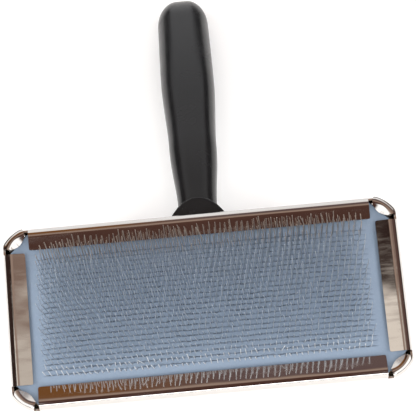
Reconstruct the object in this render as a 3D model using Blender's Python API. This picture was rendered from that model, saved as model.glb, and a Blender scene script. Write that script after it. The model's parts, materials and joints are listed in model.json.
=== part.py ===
"""A slicker brush for grooming pets: a folded steel head full of fine bent wires, on a plastic handle.

All lengths are in metres. The brush is modelled in the head's own frame: +X along the head, +Y towards the
handle and +Z out of the pins, with Z = 0 on the flat back of the tray. At the end an empty tips the brush onto
the far edge of the head and the end of the handle, pins up, which is how it lies on a table.
"""

import math

import bmesh
import bpy
from mathutils import Matrix, Vector

GAP = 0.0003  # left between pieces that touch on the real brush
SHARP_ANGLE = math.radians(35)  # edges bent more than this are shaded as edges

# The head: one pressed sheet, with its four edges folded over the pad and a rolled ear at each corner
HEAD_LENGTH = 0.1143
HEAD_WIDTH = 0.0525
HEAD_DEPTH = 0.0085
SHEET = 0.0006
CORNER_CUT_X = 0.0065
CORNER_CUT_Y = 0.0058
CORNER_RADIUS = 0.0030
BACK_EDGE_RADIUS = 0.0020
FOLD_RADIUS = 0.0015
EAR_RADIUS = 0.0010
EAR_RISE = 0.0003
FLANGE_REACH = 0.0065
FLANGE_SLOPE = math.radians(11)
LONG_FLANGE_HALF = 0.0490
SHORT_FLANGE_HALF = 0.0184
NOTCH_RADIUS = 0.0009
NOTCH_DEPTH = 0.0030
NOTCH_INSET = 0.0009
NOTCH_SIDES = 8
BEND_STEPS = 3
EAR_STEPS = 4

# The pad: layers that share one crowned surface inside the window between the flanges
WINDOW_X = HEAD_LENGTH / 2 - FLANGE_REACH
WINDOW_Y = HEAD_WIDTH / 2 - FLANGE_REACH
CROWN = 0.0050
CROWN_POWER_X = 6
CROWN_POWER_Y = 2
SLOPE_STEP = 0.00005  # the half width over which the crown's slope is measured
FLAT_ANGLE = math.radians(0.2)  # faces bent less than this are merged
PAD_INSET = 0.0015
PAD_CORNER_CUT = 0.0089
PAD_EDGE_Z = HEAD_DEPTH - (FLANGE_REACH - FOLD_RADIUS) * math.tan(FLANGE_SLOPE) - SHEET - GAP
RUBBER_THICKNESS = 0.0010
FABRIC_THICKNESS = 0.0006
LAYER_GAP = 0.0002
CUSHION_GAP = 0.0004
BOARD_BOTTOM = SHEET + GAP
BOARD_THICKNESS = 0.0015

# The wires: each row is one bent strip, as thick as a wire, with its crowns as a flat bar under the fabric
ROWS = 24
ROW_PITCH = 0.00146
ROW_HALF_LENGTH = 0.0478
WIRE_DIAMETER = 0.0003
CROWN_BAR_WIDTH = 0.0009
KNEE_HEIGHT = 0.0056
WIRE_HEIGHT = 0.0106
KNEE_ANGLE = math.radians(24)
SLOT_HALF_WIDTH = WIRE_DIAMETER / 2 + GAP
SLOT_HALF_LENGTH = ROW_HALF_LENGTH + GAP
STATIONS_X = (0.0, 0.0330, 0.0420)  # where a row bends to follow the crown, between the middle and its end

# The handle: an egg-shaped saddle on the tray's back, and a grip that leaves it towards +Y, away from the pins
SADDLE_CENTRE_Y = 0.0060
SADDLE_REACH_UP = 0.0270
SADDLE_REACH_DOWN = 0.0240
SADDLE_HALF_WIDTH = 0.0134
SADDLE_THICKNESS = 0.0032
SADDLE_POINTS = 36
SADDLE_EDGE = ((0.0, 0.0), (0.0, 0.35), (0.0012, 0.75), (0.0036, 1.0))  # distance in, share of the thickness
GRIP_START = Vector((0.0, 0.0040, -0.0020))
GRIP_BEND = Vector((0.0, 0.0460, -0.0090))
GRIP_END = Vector((0.0, 0.1190, -0.0680))
GRIP_STATIONS = 30
GRIP_CORNER_STEPS = 5
GRIP_CORNER_SHARE = 0.32
TIP_START = 0.93  # share of the spine after which the end rounds off
TIP_ANGLES = (20, 40, 57, 71, 82)
# Share of the way along the grip, width and thickness there
GRIP_SIZES = (
    (0.00, 0.0200, 0.0014),
    (0.12, 0.0175, 0.0070),
    (0.30, 0.0118, 0.0114),
    (0.50, 0.0148, 0.0136),
    (0.72, 0.0173, 0.0150),
    (1.00, 0.0170, 0.0138),
)

# The rivets, with their heads on the saddle and their clenched ends on washers inside the tray
RIVET_PLACES = ((-0.0085, 0.0000), (0.0085, 0.0000), (0.0, -0.0125))
RIVET_SEGMENTS = 16
SHANK_RADIUS = 0.0014
RIVET_HEAD_RADIUS = 0.0030
RIVET_HEAD_HEIGHT = 0.0013
RIVET_DOME = ((0.25, 1.0), (0.7, 0.75), (0.93, 0.4), (1.0, 0.0))  # shares of the head's radius and height
CLENCH_RADIUS = 0.0024
CLENCH_HEIGHT = 0.0006
WASHER_RADIUS = 0.0031
WASHER_THICKNESS = 0.0005
BOARD_HOLE_RADIUS = 0.0040


def clear_scene():
    for thing in list(bpy.data.objects):
        bpy.data.objects.remove(thing, do_unlink=True)


def material(name, colour, roughness, metallic=0.0):
    made = bpy.data.materials.new(name)
    made.use_nodes = True
    shader = made.node_tree.nodes["Principled BSDF"]
    shader.inputs["Base Color"].default_value = (*colour, 1.0)
    shader.inputs["Roughness"].default_value = roughness
    shader.inputs["Metallic"].default_value = metallic
    return made


def add_object(name, bm, finish, parent):
    """An object that owns this bmesh's shape, with outward faces, under the brush's empty."""
    bmesh.ops.recalc_face_normals(bm, faces=bm.faces)
    mesh = bpy.data.meshes.new(name)
    bm.to_mesh(mesh)
    bm.free()
    mesh.shade_smooth()
    mesh.set_sharp_from_angle(angle=SHARP_ANGLE)
    if finish:
        mesh.materials.append(finish)
    made = bpy.data.objects.new(name, mesh)
    bpy.context.collection.objects.link(made)
    made.parent = parent
    return made


def add_cutter(name, bm, parent):
    cutter = add_object(name, bm, None, parent)
    cutter.hide_render = True
    cutter.display_type = "WIRE"
    return cutter


def combine(target, other, operation):
    modifier = target.modifiers.new(f"{operation.lower()}_{other.name}", "BOOLEAN")
    modifier.operation = operation
    modifier.object = other


def loft(bm, rings, ring_shaped=False):
    """Skins rings of equal point counts: flat caps at both ends, or the last ring joined to the first."""
    loops = [[bm.verts.new(point) for point in ring] for ring in rings]
    pairs = list(zip(loops, loops[1:]))
    if ring_shaped:
        pairs.append((loops[-1], loops[0]))
    count = len(loops[0])
    for lower, upper in pairs:
        for i in range(count):
            j = (i + 1) % count
            bm.faces.new((lower[i], lower[j], upper[j], upper[i]))
    if not ring_shaped:
        bm.faces.new(reversed(loops[0]))
        bm.faces.new(loops[-1])


def circle(x, y, z, radius, segments=RIVET_SEGMENTS):
    angles = [2 * math.pi * i / segments for i in range(segments)]
    return [(x + radius * math.cos(a), y + radius * math.sin(a), z) for a in angles]


def arc(centre_a, centre_b, radius, start, end, steps):
    """Points of an arc in a flat (a, b) plane, with its angles in degrees."""
    angles = [math.radians(start + (end - start) * i / steps) for i in range(steps + 1)]
    return [(centre_a + radius * math.cos(a), centre_b + radius * math.sin(a)) for a in angles]


def fillet(before, corner, after, radius, steps=2):
    """Points of the arc that rounds one convex corner of an outline."""
    to_before = (before - corner).normalized()
    to_after = (after - corner).normalized()
    half_angle = to_before.angle(to_after) / 2
    centre = corner + (to_before + to_after).normalized() * radius / math.sin(half_angle)
    first = corner + to_before * radius / math.tan(half_angle) - centre
    turn = first.angle_signed(corner + to_after * radius / math.tan(half_angle) - centre)
    return [centre + Matrix.Rotation(-turn * i / steps, 2) @ first for i in range(steps + 1)]


# ---- the head shell ----


def head_corners(inset):
    """The two corners of the chamfer in the first quadrant, on an outline moved in by the inset."""
    half_x = HEAD_LENGTH / 2 - inset
    half_y = HEAD_WIDTH / 2 - inset
    normal = Vector((CORNER_CUT_Y, CORNER_CUT_X)).normalized()
    reach = normal.dot(Vector((HEAD_LENGTH / 2 - CORNER_CUT_X, HEAD_WIDTH / 2))) - inset
    on_short_side = Vector((half_x, (reach - normal.x * half_x) / normal.y))
    on_long_side = Vector(((reach - normal.y * half_y) / normal.x, half_y))
    return on_short_side, on_long_side


def mirrored_ring(quarter):
    """A whole ring from its first-quadrant points, which run from the short side to the long side."""
    ring = list(quarter)
    ring += [(-x, y, z) for x, y, z in reversed(quarter)]
    ring += [(-x, -y, z) for x, y, z in quarter]
    ring += [(x, -y, z) for x, y, z in reversed(quarter)]
    return ring


def ear_points(inset, z):
    """The rounded chamfer of the head's outline in the first quadrant."""
    low, high = head_corners(inset)
    radius = CORNER_RADIUS - inset
    below = Vector((low.x, 0))
    beside = Vector((0, high.y))
    points = fillet(below, low, high, radius) + fillet(low, high, beside, radius)
    return [(p.x, p.y, z) for p in points]


def shell_ring(flange_point, ear_point):
    """One ring of the shell: straight sides take the flange's profile, and the corners take the ear's."""
    inset, z = flange_point
    short_end = (HEAD_LENGTH / 2 - inset, SHORT_FLANGE_HALF, z)
    long_end = (LONG_FLANGE_HALF, HEAD_WIDTH / 2 - inset, z)
    return mirrored_ring([short_end, *ear_points(*ear_point), long_end])


def shell_profiles():
    """The pressed sheet in section, as (distance in from the edge, height): at a flange, and at an ear."""
    slope = math.degrees(FLANGE_SLOPE)
    fold_z = HEAD_DEPTH - FOLD_RADIUS
    ear_z = HEAD_DEPTH + EAR_RISE - EAR_RADIUS
    outside = arc(BACK_EDGE_RADIUS, BACK_EDGE_RADIUS, BACK_EDGE_RADIUS, 270, 180, BEND_STEPS)
    inside = arc(BACK_EDGE_RADIUS, BACK_EDGE_RADIUS, BACK_EDGE_RADIUS - SHEET, 180, 270, BEND_STEPS)
    fold_out = arc(FOLD_RADIUS, fold_z, FOLD_RADIUS, 180, 90 - slope, BEND_STEPS)
    fold_in = arc(FOLD_RADIUS, fold_z, FOLD_RADIUS - SHEET, 90 - slope, 180, BEND_STEPS)
    drop_out = (FLANGE_REACH - fold_out[-1][0]) * math.tan(FLANGE_SLOPE)
    drop_in = (FLANGE_REACH - fold_in[0][0]) * math.tan(FLANGE_SLOPE)
    free_edge = [
        (FLANGE_REACH, fold_out[-1][1] - drop_out),
        (FLANGE_REACH, fold_in[0][1] - drop_in),
    ]
    ear_out = arc(EAR_RADIUS, ear_z, EAR_RADIUS, 180, 0, EAR_STEPS)
    ear_in = arc(EAR_RADIUS, ear_z, EAR_RADIUS - SHEET, 0, 180, EAR_STEPS)
    flange = outside + fold_out + free_edge + fold_in + inside
    ear = outside + ear_out + ear_in + inside
    return flange, ear


def notch_places():
    """Where the relief cuts part the flanges from the ears, on all eight corners of the outline."""
    low, high = head_corners(NOTCH_INSET)
    return [(sx * p.x, sy * p.y) for p in (low, high) for sx in (-1, 1) for sy in (-1, 1)]


def upright_holes(places, radius, bottom, top, segments=RIVET_SEGMENTS):
    bm = bmesh.new()
    for x, y in places:
        loft(bm, [circle(x, y, bottom, radius, segments), circle(x, y, top, radius, segments)])
    return bm


def build_shell(parent):
    bm = bmesh.new()
    loft(bm, [shell_ring(flange, ear) for flange, ear in zip(*shell_profiles())])
    finish = material("polished_steel", (0.62, 0.58, 0.55), 0.12, 1.0)
    shell = add_object("head_shell", bm, finish, parent)
    notch_bottom = HEAD_DEPTH - NOTCH_DEPTH
    notches = upright_holes(notch_places(), NOTCH_RADIUS, notch_bottom, 2 * HEAD_DEPTH, NOTCH_SIDES)
    combine(shell, add_cutter("cut_notches", notches, parent), "DIFFERENCE")
    holes = upright_holes(RIVET_PLACES, SHANK_RADIUS + GAP, -HEAD_DEPTH, HEAD_DEPTH / 2)
    combine(shell, add_cutter("cut_shell_rivet_holes", holes, parent), "DIFFERENCE")


# ---- the pad ----


def crown_height(x, y):
    """How far the rubber stands above its edge."""
    along = max(0.0, 1 - abs(x / WINDOW_X) ** CROWN_POWER_X)
    across = max(0.0, 1 - abs(y / WINDOW_Y) ** CROWN_POWER_Y)
    return CROWN * along * across


def on_pad(x, y, height, lean=0.0):
    """A point at this height over the rubber, along the way a wire stands there, moved to +Y by the lean."""
    slope_x = (crown_height(x - SLOPE_STEP, y) - crown_height(x + SLOPE_STEP, y)) / (2 * SLOPE_STEP)
    slope_y = (crown_height(x, y - SLOPE_STEP) - crown_height(x, y + SLOPE_STEP)) / (2 * SLOPE_STEP)
    z = PAD_EDGE_Z + crown_height(x, y) + height
    return (x + height * slope_x, y + height * slope_y + lean, z)


def row_places():
    return [(row - (ROWS - 1) / 2) * ROW_PITCH for row in range(ROWS)]


def both_sides(values):
    return sorted({sign * value for value in values for sign in (-1, 1)})


def pad_lines(has_slots):
    """The grid that a layer is built on: lines across it and along it."""
    outer_x = HEAD_LENGTH / 2 - PAD_INSET
    outer_y = HEAD_WIDTH / 2 - PAD_INSET
    lines_x = both_sides((*STATIONS_X, SLOT_HALF_LENGTH, WINDOW_X, outer_x))
    if has_slots:
        slots_y = [y + side * SLOT_HALF_WIDTH for y in row_places() for side in (-1, 1)]
        return lines_x, sorted([-outer_y, -WINDOW_Y, *slots_y, WINDOW_Y, outer_y])
    return lines_x, both_sides((0.0, WINDOW_Y / 3, WINDOW_Y * 2 / 3, WINDOW_Y, outer_y))


def in_slot(x, y):
    return abs(x) < SLOT_HALF_LENGTH and any(abs(y - row) < SLOT_HALF_WIDTH for row in row_places())


def pad_layer(has_slots, top_point, bottom_point):
    """A closed layer over the pad's grid, open at each slot. The two functions turn (x, y) into a point."""
    bm = bmesh.new()
    lines_x, lines_y = pad_lines(has_slots)
    made = {}

    def corner(i, j, is_top):
        key = (i, j, is_top)
        if key not in made:
            made[key] = bm.verts.new((top_point if is_top else bottom_point)(lines_x[i], lines_y[j]))
        return made[key]

    open_sides = set()
    for i in range(len(lines_x) - 1):
        for j in range(len(lines_y) - 1):
            if has_slots and in_slot((lines_x[i] + lines_x[i + 1]) / 2, (lines_y[j] + lines_y[j + 1]) / 2):
                continue
            around = [(i, j), (i + 1, j), (i + 1, j + 1), (i, j + 1)]
            bm.faces.new([corner(*place, True) for place in around])
            bm.faces.new([corner(*place, False) for place in reversed(around)])
            for start, end in zip(around, around[1:] + around[:1]):
                if (end, start) in open_sides:
                    open_sides.remove((end, start))
                else:
                    open_sides.add((start, end))
    for start, end in sorted(open_sides):
        bm.faces.new((corner(*start, False), corner(*end, False), corner(*end, True), corner(*start, True)))
    bmesh.ops.dissolve_limit(bm, angle_limit=FLAT_ANGLE, verts=bm.verts, edges=bm.edges)
    return bm


def pad_corner_cutter(parent):
    """Four bars that take the corners off every layer of the pad."""
    bm = bmesh.new()
    half_x = HEAD_LENGTH / 2 - PAD_INSET
    half_y = HEAD_WIDTH / 2 - PAD_INSET
    past = PAD_INSET
    for sx in (-1, 1):
        for sy in (-1, 1):
            triangle = [
                (sx * (half_x - PAD_CORNER_CUT - past), sy * (half_y + past)),
                (sx * (half_x + past), sy * (half_y + past)),
                (sx * (half_x + past), sy * (half_y - PAD_CORNER_CUT - past)),
            ]
            loft(bm, [[(x, y, z) for x, y in triangle] for z in (-HEAD_DEPTH, 2 * HEAD_DEPTH)])
    return add_cutter("cut_pad_corners", bm, parent)


def at_height(height):
    """A function that turns (x, y) into the point at this height over the rubber."""
    return lambda x, y: on_pad(x, y, height)


def build_pad(parent):
    corners = pad_corner_cutter(parent)
    fabric_top = -RUBBER_THICKNESS - LAYER_GAP
    fabric_bottom = fabric_top - FABRIC_THICKNESS
    cushion_top = fabric_bottom - LAYER_GAP - WIRE_DIAMETER - CUSHION_GAP
    cushion_bottom = BOARD_BOTTOM + BOARD_THICKNESS + GAP
    rubber = pad_layer(True, at_height(0.0), at_height(-RUBBER_THICKNESS))
    fabric = pad_layer(True, at_height(fabric_top), at_height(fabric_bottom))
    cushion = pad_layer(False, at_height(cushion_top), lambda x, y: (x, y, cushion_bottom))
    finishes = {
        "rubber_face": (rubber, material("blue_grey_rubber", (0.33, 0.40, 0.50), 0.55)),
        "foundation_fabric": (fabric, material("woven_cotton", (0.55, 0.50, 0.42), 0.9)),
        "cushion_foam": (cushion, material("foam", (0.45, 0.44, 0.42), 0.9)),
    }
    for name, (bm, finish) in finishes.items():
        combine(add_object(name, bm, finish, parent), corners, "DIFFERENCE")


def build_board(parent):
    """The flat stiffener in the bottom of the tray, with clearance round the rivets' ends."""
    bm = bmesh.new()
    heights = (BOARD_BOTTOM, BOARD_BOTTOM + BOARD_THICKNESS)
    loft(bm, [mirrored_ring(ear_points(PAD_INSET, z)) for z in heights])
    board = add_object("backing_board", bm, material("fibreboard", (0.32, 0.22, 0.14), 0.85), parent)
    holes = upright_holes(RIVET_PLACES, BOARD_HOLE_RADIUS, 0.0, HEAD_DEPTH / 2)
    combine(board, add_cutter("cut_board_clearance", holes, parent), "DIFFERENCE")


# ---- the wires ----


def row_section(x, y):
    """The outline of one row across its length: a T with the crowns as its foot and a stem that bends."""
    half_wire = WIRE_DIAMETER / 2
    bar_top = -RUBBER_THICKNESS - FABRIC_THICKNESS - 2 * LAYER_GAP
    bar_bottom = bar_top - WIRE_DIAMETER
    half_bar = CROWN_BAR_WIDTH / 2
    tip_lean = (WIRE_HEIGHT - KNEE_HEIGHT) * math.tan(KNEE_ANGLE)
    right = [
        (half_bar, bar_bottom, 0.0),
        (half_bar, bar_top, 0.0),
        (half_wire, bar_top, 0.0),
        (half_wire, KNEE_HEIGHT, 0.0),
        (half_wire, WIRE_HEIGHT, tip_lean),
    ]
    left = [(-offset, height, lean) for offset, height, lean in reversed(right)]
    return [on_pad(x, y + offset, height, lean) for offset, height, lean in right + left]


def build_rows(parent):
    finish = material("wire_steel", (0.60, 0.61, 0.64), 0.3, 1.0)
    stations = both_sides((*STATIONS_X, ROW_HALF_LENGTH))
    for number, y in enumerate(row_places(), start=1):
        bm = bmesh.new()
        loft(bm, [row_section(x, y) for x in stations])
        bmesh.ops.triangulate(bm, faces=bm.faces)  # the long faces twist, so their diagonals are fixed here
        add_object(f"pin_row_{number:02d}", bm, finish, parent)


# ---- the handle ----


def saddle_ring(inset, z):
    """The egg-shaped outline of the saddle, moved in by the inset."""
    ring = []
    for i in range(SADDLE_POINTS):
        angle = 2 * math.pi * i / SADDLE_POINTS
        reach = SADDLE_REACH_UP if math.sin(angle) > 0 else SADDLE_REACH_DOWN
        x = (SADDLE_HALF_WIDTH - inset) * math.cos(angle)
        y = SADDLE_CENTRE_Y + (reach - inset) * math.sin(angle)
        ring.append((x, y, z))
    return ring


def grip_size(share):
    """Width and thickness of the grip at a share of its length, easing between the listed sizes."""
    for (low, *before), (high, *after) in zip(GRIP_SIZES, GRIP_SIZES[1:]):
        if share <= high:
            local = (share - low) / (high - low)
            ease = local * local * (3 - 2 * local)
            return [a + (b - a) * ease for a, b in zip(before, after)]
    return GRIP_SIZES[-1][1:]


def grip_section(width, thickness):
    """A rounded rectangle as flat (across, through) points."""
    radius = GRIP_CORNER_SHARE * min(width, thickness)
    half_a = width / 2 - radius
    half_b = thickness / 2 - radius
    points = []
    for quarter, (side_a, side_b) in enumerate(((1, 1), (-1, 1), (-1, -1), (1, -1))):
        start = 90 * quarter
        points += arc(side_a * half_a, side_b * half_b, radius, start, start + 90, GRIP_CORNER_STEPS)
    return points


def spine_point(share):
    return (1 - share) ** 2 * GRIP_START + 2 * share * (1 - share) * GRIP_BEND + share**2 * GRIP_END


def spine_direction(share):
    return (2 * (1 - share) * (GRIP_BEND - GRIP_START) + 2 * share * (GRIP_END - GRIP_BEND)).normalized()


def grip_rings():
    """Sections along the bent spine. Past the tip's start they shrink as a half ellipse does."""
    shares = [TIP_START * i / GRIP_STATIONS for i in range(GRIP_STATIONS + 1)]
    shrinks = [1.0] * len(shares)
    for angle in TIP_ANGLES:
        shares.append(TIP_START + (1 - TIP_START) * math.sin(math.radians(angle)))
        shrinks.append(math.cos(math.radians(angle)))
    rings = []
    for share, shrink in zip(shares, shrinks):
        width, thickness = grip_size(share)
        across = Vector((1.0, 0.0, 0.0))
        through = spine_direction(share).cross(across)
        ring = []
        for a, b in grip_section(width * shrink, thickness * shrink):
            ring.append(spine_point(share) + across * a + through * b)
        rings.append(ring)
    return rings


def build_handle(parent):
    bm = bmesh.new()
    loft(bm, [saddle_ring(inset, -GAP - share * SADDLE_THICKNESS) for inset, share in SADDLE_EDGE])
    handle = add_object("handle", bm, material("black_plastic", (0.012, 0.012, 0.013), 0.38), parent)
    grip = bmesh.new()
    loft(grip, grip_rings())
    combine(handle, add_cutter("grip_shape", grip, parent), "UNION")
    holes = upright_holes(RIVET_PLACES, SHANK_RADIUS + GAP, -2 * SADDLE_THICKNESS, SADDLE_THICKNESS)
    combine(handle, add_cutter("cut_saddle_rivet_holes", holes, parent), "DIFFERENCE")


# ---- the rivets ----


def rivet_rings(x, y):
    """A turned rivet, from the top of its domed head to its clenched end."""
    seat = -GAP - SADDLE_THICKNESS - GAP
    clench = SHEET + GAP + WASHER_THICKNESS + GAP
    rings = []
    for across, rise in RIVET_DOME:
        rings.append(circle(x, y, seat - rise * RIVET_HEAD_HEIGHT, across * RIVET_HEAD_RADIUS))
    rings.append(circle(x, y, seat, SHANK_RADIUS))
    rings.append(circle(x, y, clench, SHANK_RADIUS))
    rings.append(circle(x, y, clench, CLENCH_RADIUS))
    rings.append(circle(x, y, clench + CLENCH_HEIGHT / 2, CLENCH_RADIUS))
    rings.append(circle(x, y, clench + CLENCH_HEIGHT, CLENCH_RADIUS / 2))
    return rings


def washer_rings(x, y):
    bottom = SHEET + GAP
    top = bottom + WASHER_THICKNESS
    inner = SHANK_RADIUS + GAP
    section = ((inner, bottom), (WASHER_RADIUS, bottom), (WASHER_RADIUS, top), (inner, top))
    return [circle(x, y, z, radius) for radius, z in section]


def build_fasteners(parent):
    steel = material("rivet_steel", (0.60, 0.60, 0.60), 0.25, 1.0)
    for number, (x, y) in enumerate(RIVET_PLACES, start=1):
        rivet = bmesh.new()
        loft(rivet, rivet_rings(x, y))
        add_object(f"saddle_rivet_{number}", rivet, steel, parent)
        washer = bmesh.new()
        loft(washer, washer_rings(x, y), ring_shaped=True)
        add_object(f"rivet_washer_{number}", washer, steel, parent)


# ---- the brush ----


def visible_points(frame):
    """Every vertex of the finished pieces, in world space."""
    bpy.context.view_layer.update()
    graph = bpy.context.evaluated_depsgraph_get()
    points = []
    for piece in frame.children:
        if piece.hide_render:
            continue
        shape = piece.evaluated_get(graph)
        points += [shape.matrix_world @ vertex.co for vertex in shape.data.vertices]
    return points


def rest_angle(points):
    """The tilt at which the head's far edge and the handle's end touch one level surface."""
    head = [p for p in points if p.y < 0]
    grip = [p for p in points if p.y > HEAD_WIDTH]
    low, high = 0.0, math.pi / 2
    for _ in range(40):
        angle = (low + high) / 2
        head_low = min(p.y * math.sin(angle) + p.z * math.cos(angle) for p in head)
        grip_low = min(p.y * math.sin(angle) + p.z * math.cos(angle) for p in grip)
        low, high = (angle, high) if grip_low < head_low else (low, angle)
    return (low + high) / 2


def lay_down(frame):
    """Tips the brush onto its two supports, and centres its box over the origin."""
    frame.rotation_euler.x = rest_angle(visible_points(frame))
    points = visible_points(frame)
    middle_y = (min(p.y for p in points) + max(p.y for p in points)) / 2
    frame.location = (0.0, -middle_y, -min(p.z for p in points))


def build_brush():
    clear_scene()
    frame = bpy.data.objects.new("brush_frame", None)
    bpy.context.collection.objects.link(frame)
    build_shell(frame)
    build_board(frame)
    build_pad(frame)
    build_rows(frame)
    build_handle(frame)
    build_fasteners(frame)
    lay_down(frame)


build_brush()
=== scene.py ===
"""The looks of the slicker brush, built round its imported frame. All lengths are in metres.

The visible pieces are modelled in the head's own frame: +X along the head, +Y towards the handle and +Z
out of the pins, with Z = 0 on the flat back of the tray. Their meshes are then moved to the brush's
resting place.
"""

import json
import math
import random

import bmesh
import bpy
import numpy as np
from mathutils import Matrix, Vector


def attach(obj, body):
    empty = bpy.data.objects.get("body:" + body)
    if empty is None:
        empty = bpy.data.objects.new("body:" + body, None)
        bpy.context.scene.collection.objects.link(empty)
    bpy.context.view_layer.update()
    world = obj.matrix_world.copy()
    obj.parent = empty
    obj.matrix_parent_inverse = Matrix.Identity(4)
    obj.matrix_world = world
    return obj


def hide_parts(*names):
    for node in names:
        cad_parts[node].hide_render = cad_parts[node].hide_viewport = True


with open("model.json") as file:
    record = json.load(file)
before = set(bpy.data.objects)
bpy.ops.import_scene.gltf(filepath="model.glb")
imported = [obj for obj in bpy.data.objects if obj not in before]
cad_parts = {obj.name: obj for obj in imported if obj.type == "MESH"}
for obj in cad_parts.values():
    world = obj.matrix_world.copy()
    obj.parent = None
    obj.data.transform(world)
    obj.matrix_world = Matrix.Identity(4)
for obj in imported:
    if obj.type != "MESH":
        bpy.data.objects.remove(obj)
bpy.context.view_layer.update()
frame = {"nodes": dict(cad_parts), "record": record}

# The head
HEAD_LENGTH = 0.1143
HEAD_WIDTH = 0.0525
HEAD_DEPTH = 0.0085
SHEET = 0.0006
CORNER_CUT_X = 0.0060
CORNER_CUT_Y = 0.0051
CORNER_RADIUS = 0.0030
BACK_EDGE_RADIUS = 0.0020
FOLD_RADIUS = 0.0023
EAR_RADIUS = 0.0016
EAR_RISE = 0.0003
FLANGE_REACH = 0.0065
FLANGE_SLOPE = math.radians(11)
LONG_FLANGE_HALF = 0.0494
SHORT_FLANGE_HALF = 0.0190
NOTCH_FLOOR = 0.0055
WALL_MIDDLE = 0.0045
WINDOW_X = HEAD_LENGTH / 2 - FLANGE_REACH
WINDOW_Y = HEAD_WIDTH / 2 - FLANGE_REACH
CROWN = 0.0050

# The pad
PAD_INSET = 0.0015
PAD_HALF_X = HEAD_LENGTH / 2 - PAD_INSET
PAD_HALF_Y = HEAD_WIDTH / 2 - PAD_INSET
PAD_CORNER_CUT = 0.0060
PAD_EDGE_Z = 0.00663
RUBBER_THICKNESS = 0.0010
FABRIC_THICKNESS = 0.0006
CUSHION_BOTTOM = 0.0027

# The wires
ROWS = 24
ROW_PITCH = 0.00146
WIRES_IN_ROW = 58
WIRE_PITCH = 0.00160
WIRE_RADIUS = 0.00011
KNEE_HEIGHT = 0.0056
WIRE_HEIGHT = 0.0099
KNEE_ANGLE = math.radians(20)
CROWN_DEPTH = 0.00215

# The rivets
RIVET_PLACES = ((-0.0085, 0.0), (0.0085, 0.0), (0.0, -0.0125))
RIVET_HOLE_RADIUS = 0.0017
RIVET_HEAD_RADIUS = 0.0030
RIVET_SHANK_RADIUS = 0.0014
FIT_GAP = 0.0003  # between the tray, the saddle and the fasteners


def head_place():
    """Where the head's own frame lies in the row frame, from the flat wall on its far side."""
    mount = frame["record"]["mounts"][0]
    tilt = math.atan2(-mount["axis"][2], -mount["axis"][1])
    turned = Matrix.Rotation(tilt, 4, "X")
    wall = turned @ Vector((0.0, -HEAD_WIDTH / 2, WALL_MIDDLE))
    return Matrix.Translation(Vector(mount["pos_m"]) - wall) @ turned, tilt


HEAD, TILT = head_place()


# ---- materials ----


class Finish:
    """A node material being made: a Principled shader, with short calls that add nodes and wire them to it.

    Its coordinates are the head's own, in metres, so a pattern lies the same way on every piece.
    """

    def __init__(self, name):
        self.material = bpy.data.materials.new(name)
        self.material.use_nodes = True
        self.tree = self.material.node_tree
        self.shader = self.tree.nodes["Principled BSDF"]
        coordinates = self.tree.nodes.new("ShaderNodeTexCoord").outputs["Object"]
        start = -(Matrix.Rotation(-TILT, 3, "X") @ HEAD.translation)
        settings = {"Vector": coordinates, "Rotation": (-TILT, 0.0, 0.0), "Location": start}
        self.place = self.node("ShaderNodeMapping", settings).outputs["Vector"]

    def node(self, kind, inputs):
        """A new node with these inputs, each one a value or the output of another node."""
        made = self.tree.nodes.new(kind)
        for key, value in inputs.items():
            self.feed(made.inputs[key], value)
        return made

    def feed(self, socket, value):
        if isinstance(value, bpy.types.NodeSocket):
            self.tree.links.new(value, socket)
        else:
            socket.default_value = value

    def set(self, name, value):
        """Sets one input of the Principled shader."""
        self.feed(self.shader.inputs[name], value)

    def noise(self, per_metre, detail=3.0, stretch=(1.0, 1.0, 1.0)):
        """Noise with about this many lumps to a metre. A stretch below one draws it out along that axis."""
        mapped = self.node("ShaderNodeMapping", {"Vector": self.place, "Scale": stretch})
        inputs = {"Vector": mapped.outputs["Vector"], "Scale": per_metre, "Detail": detail}
        return self.node("ShaderNodeTexNoise", inputs).outputs["Fac"]

    def cells(self, per_metre):
        inputs = {"Vector": self.place, "Scale": per_metre}
        return self.node("ShaderNodeTexVoronoi", inputs).outputs["Distance"]

    def bands(self, per_metre, direction):
        made = self.node("ShaderNodeTexWave", {"Vector": self.place, "Scale": per_metre, "Distortion": 0.6})
        made.bands_direction = direction
        return made.outputs["Fac"]

    def between(self, value, low, high, start=0.0, end=1.0):
        """Maps a value from start..end to low..high."""
        inputs = {"Value": value, "From Min": start, "From Max": end, "To Min": low, "To Max": high}
        return self.node("ShaderNodeMapRange", inputs).outputs["Result"]

    def math(self, operation, first, second=0.0):
        made = self.node("ShaderNodeMath", {0: first, 1: second})
        made.operation = operation
        return made.outputs["Value"]

    def axes(self):
        """The head frame's X, Y and Z at each point."""
        parts = self.node("ShaderNodeSeparateXYZ", {"Vector": self.place})
        return parts.outputs["X"], parts.outputs["Y"], parts.outputs["Z"]

    def mix(self, share, first, second):
        made = self.tree.nodes.new("ShaderNodeMix")
        made.data_type = "RGBA"
        self.feed(made.inputs[0], share)
        self.feed(made.inputs[6], (*first, 1.0) if isinstance(first, tuple) else first)
        self.feed(made.inputs[7], (*second, 1.0) if isinstance(second, tuple) else second)
        return made.outputs[2]

    def bump(self, height, distance, under=None):
        inputs = {"Height": height, "Distance": distance}
        if under:
            inputs["Normal"] = under
        return self.node("ShaderNodeBump", inputs).outputs["Normal"]


def polished_steel():
    """Bright plated sheet: nearly a mirror, with slow waves from the press and fine handling scratches."""
    finish = Finish("polished_steel_sheet")
    film = finish.noise(70, 4)
    scratches = finish.noise(900, 5, (0.05, 1.0, 1.0))
    finish.set("Metallic", 1.0)
    finish.set("Base Color", finish.mix(film, (0.60, 0.57, 0.54), (0.68, 0.66, 0.64)))
    wear = finish.between(scratches, 0.0, 0.10, 0.45, 0.75)
    finish.set("Roughness", finish.math("ADD", finish.between(film, 0.035, 0.075, 0.3, 0.7), wear))
    waves = finish.bump(finish.noise(110, 1), 0.00006)
    finish.set("Normal", finish.bump(scratches, 0.0000006, waves))
    return finish.material


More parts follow.
